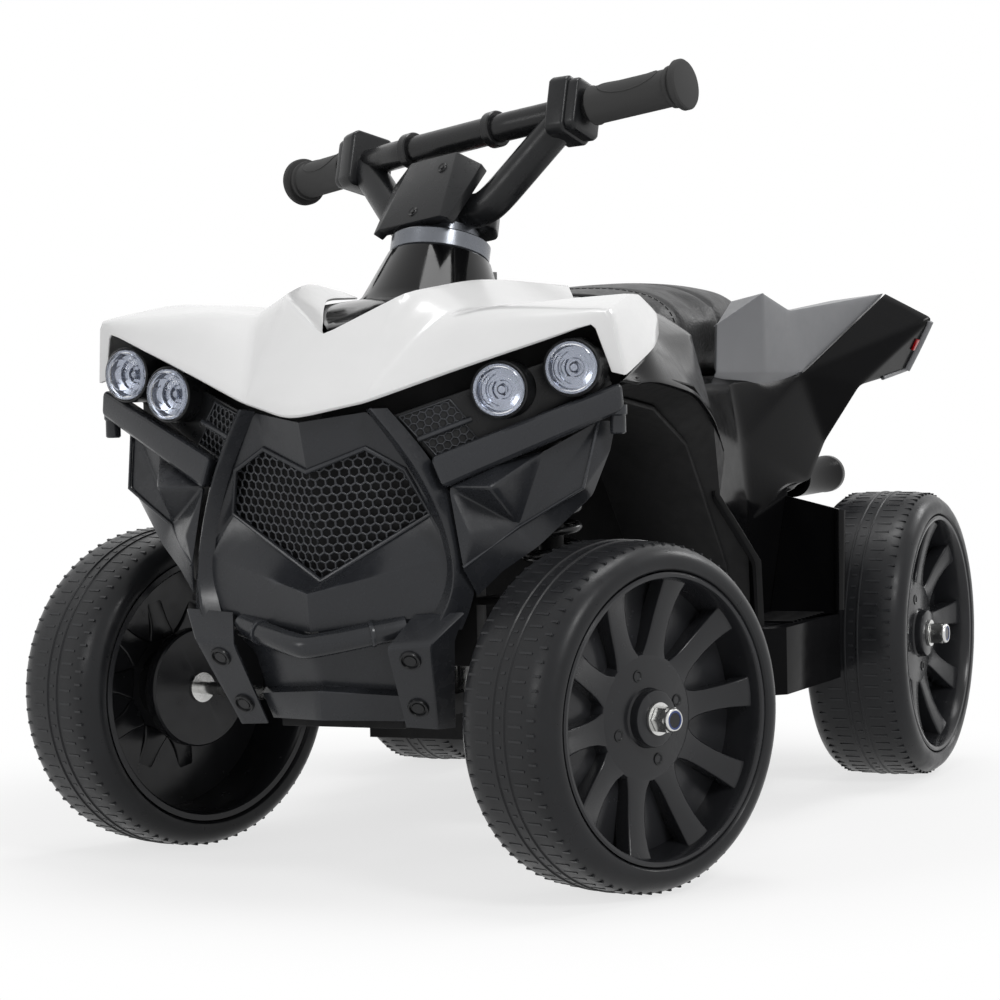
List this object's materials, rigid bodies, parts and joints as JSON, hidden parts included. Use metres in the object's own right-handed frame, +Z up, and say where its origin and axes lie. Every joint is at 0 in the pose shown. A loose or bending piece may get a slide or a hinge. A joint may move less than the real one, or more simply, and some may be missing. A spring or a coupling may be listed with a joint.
{
  "type": "ride-on quad bike",
  "caption": "Battery ride-on quad bike for a small child, with steered front wheels, geared rear drive, foot pedal, rocker switches, padded seat, hood, bumper and round headlamps.",
  "frame": {"origin": "on the ground under the middle of the box that holds the bike as it stands", "axes": "+X forward, +Y to the rider's left, +Z up"},
  "size_m": [0.7066, 0.456, 0.4634],
  "materials": {
    "tyre_black": "satin hard tread",
    "rim_charcoal": "satin",
    "steel": "zinc plated",
    "bar_black": "satin",
    "grip_rubber": "matte, ribbed",
    "satin_black": "satin",
    "rough_black": "fine grain",
    "gloss_black": "gloss",
    "white_shell": "gloss",
    "bumper_grey": "satin",
    "fender_grey": "satin",
    "seat_cover": "grained",
    "lens_clear": "clear",
    "reflector": "mirror",
    "lamp_red": "clear red",
    "nylon": "natural nylon",
    "battery_grey": "satin",
    "switch_red": "gloss",
    "switch_black": "gloss"
  },
  "bodies": {
    "frame": {"rear_axle_fasteners": "steel", "rear_axle": "steel", "motor": "steel", "bumper_bolts": "steel", "front_springs": "bar_black", "column_shroud": "satin_black", "switch_panel": "satin_black", "control_box": "satin_black", "gearbox_inner_case": "satin_black", "gearbox_outer_case": "satin_black", "chassis_pan": "rough_black", "body_frame": "rough_black", "front_beam": "rough_black", "wheel_liners": "rough_black", "tail_panel": "rough_black", "tail_pipes": "rough_black", "headlamp_panels": "rough_black", "grille_mesh": "rough_black", "left_footrest": "rough_black", "right_footrest": "rough_black", "dash_cover": "gloss_black", "left_front_fender": "gloss_black", "right_front_fender": "gloss_black", "left_side_panel": "gloss_black", "right_side_panel": "gloss_black", "front_hood": "white_shell", "front_bumper": "bumper_grey", "bumper_wings": "bumper_grey", "rear_fenders": "fender_grey", "seat": "seat_cover", "headlamp_lenses": "lens_clear", "headlamp_reflectors": "reflector", "tail_lamps": "lamp_red", "battery": "battery_grey"},
    "steering": {"steering_column": "steel", "handlebar_yoke": "satin_black", "handlebar_tube": "bar_black", "left_grip": "grip_rubber", "right_grip": "grip_rubber", "console_cover": "satin_black", "console_screws": "steel"},
    "left_steer": {"left_knuckle": "steel", "left_axle_fasteners": "steel"},
    "right_steer": {"right_knuckle": "steel", "right_axle_fasteners": "steel"},
    "track_rod": {"tie_rod": "steel"},
    "front_left_wheel": {"front_left_tyre": "tyre_black", "front_left_rim": "rim_charcoal"},
    "front_right_wheel": {"front_right_tyre": "tyre_black", "front_right_rim": "rim_charcoal"},
    "rear_left_wheel": {"rear_left_tyre": "tyre_black", "rear_left_rim": "rim_charcoal", "drive_gear": "nylon"},
    "rear_right_wheel": {"rear_right_tyre": "tyre_black", "rear_right_rim": "rim_charcoal"},
    "middle_gear": {"compound_gear": "nylon"},
    "pinion": {"motor_pinion": "nylon"},
    "pedal": {"foot_pedal": "satin_black"},
    "power_rocker": {"power_switch": "switch_red"},
    "direction_rocker": {"direction_switch": "switch_black"}
  },
  "joints": [
    {"name": "steer", "type": "hinge", "parent": "frame", "child": "steering", "pos_m": [0.1202, 0, 0.3609], "axis": [-0.3272, 0, 0.9449], "range_deg": [-5.5, 50.5]},
    {"name": "left_kingpin", "type": "hinge", "parent": "frame", "child": "left_steer", "pos_m": [0.2093, 0.052, 0.14], "axis": [0, 0, 1], "range_deg": [-5.5, 50.5]},
    {"name": "right_kingpin", "type": "hinge", "parent": "frame", "child": "right_steer", "pos_m": [0.2093, -0.052, 0.14], "axis": [0, 0, 1], "range_deg": [-5.5, 50.5]},
    {"name": "tie_rod_pin", "type": "hinge", "parent": "left_steer", "child": "track_rod", "pos_m": [0.18158, 0.06348, 0.1102], "axis": [0, 0, 1], "range_deg": [-50.5, 5.5]},
    {"name": "front_left_spin", "type": "hinge", "parent": "left_steer", "child": "front_left_wheel", "pos_m": [0.25522, 0.16287, 0.097], "axis": [0.3827, 0.9239, 0], "continuous": true},
    {"name": "front_right_spin", "type": "hinge", "parent": "right_steer", "child": "front_right_wheel", "pos_m": [0.16338, -0.16287, 0.097], "axis": [0.3827, 0.9239, 0], "continuous": true},
    {"name": "rear_left_spin", "type": "hinge", "parent": "frame", "child": "rear_left_wheel", "pos_m": [-0.2457, 0.168, 0.097], "axis": [0, 1, 0], "continuous": true},
    {"name": "rear_right_spin", "type": "hinge", "parent": "frame", "child": "rear_right_wheel", "pos_m": [-0.2457, -0.168, 0.097], "axis": [0, 1, 0], "continuous": true},
    {"name": "middle_gear_spin", "type": "hinge", "parent": "frame", "child": "middle_gear", "pos_m": [-0.2132, 0.054, 0.097], "axis": [0, 1, 0], "continuous": true},
    {"name": "pinion_spin", "type": "hinge", "parent": "frame", "child": "pinion", "pos_m": [-0.1872, 0.05, 0.097], "axis": [0, 1, 0], "continuous": true},
    {"name": "pedal_press", "type": "hinge", "parent": "frame", "child": "pedal", "pos_m": [-0.1147, -0.139, 0.127], "axis": [0, 1, 0], "range_deg": [0, 9], "stiffness_Nm_per_rad": 0.6, "springref_deg": -11.46},
    {"name": "power_tilt", "type": "hinge", "parent": "frame", "child": "power_rocker", "pos_m": [0.0443, -0.019, 0.3446], "axis": [0, 1, 0], "range_deg": [-14, 0]},
    {"name": "direction_tilt", "type": "hinge", "parent": "frame", "child": "direction_rocker", "pos_m": [0.0443, -0.053, 0.3446], "axis": [0, 1, 0], "range_deg": [-14, 0]}
  ],
  "couplings": [
    {"joint": "left_kingpin", "follows": "steer", "ratio": 1},
    {"joint": "right_kingpin", "follows": "steer", "ratio": 1},
    {"joint": "tie_rod_pin", "follows": "steer", "ratio": -1},
    {"joint": "middle_gear_spin", "follows": "rear_left_spin", "ratio": -3.3333},
    {"joint": "pinion_spin", "follows": "rear_left_spin", "ratio": 11.111}
  ]
}
